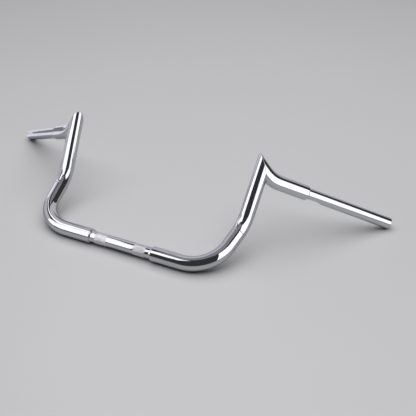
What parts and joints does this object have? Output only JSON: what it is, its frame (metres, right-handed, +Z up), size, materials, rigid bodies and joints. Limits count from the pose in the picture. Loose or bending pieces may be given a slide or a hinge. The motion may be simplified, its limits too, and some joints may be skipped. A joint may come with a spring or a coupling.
{
  "type": "ape hanger handlebar",
  "caption": "Chrome-plated motorcycle ape hanger bar of fat steel tube with pointed mitred tops, a knurled clamp section and straight grip ends.",
  "frame": {"origin": "middle of the clamp section, on its axis", "axes": "+X along the clamp section towards the bar's right, +Z up from the surface it lies on, +Y towards its grip ends"},
  "size_m": [0.975, 0.3633, 0.1917],
  "materials": {
    "chrome_plate": "bright chrome plate, matt over the knurled bands"
  },
  "bodies": {
    "root": {"clamp_tube": "chrome_plate", "lower_tube_left": "chrome_plate", "lower_tube_right": "chrome_plate", "riser_tube_left": "chrome_plate", "riser_tube_right": "chrome_plate", "tip_elbow_left": "chrome_plate", "tip_elbow_right": "chrome_plate", "grip_tube_left": "chrome_plate", "grip_tube_right": "chrome_plate"}
  },
  "joints": []
}
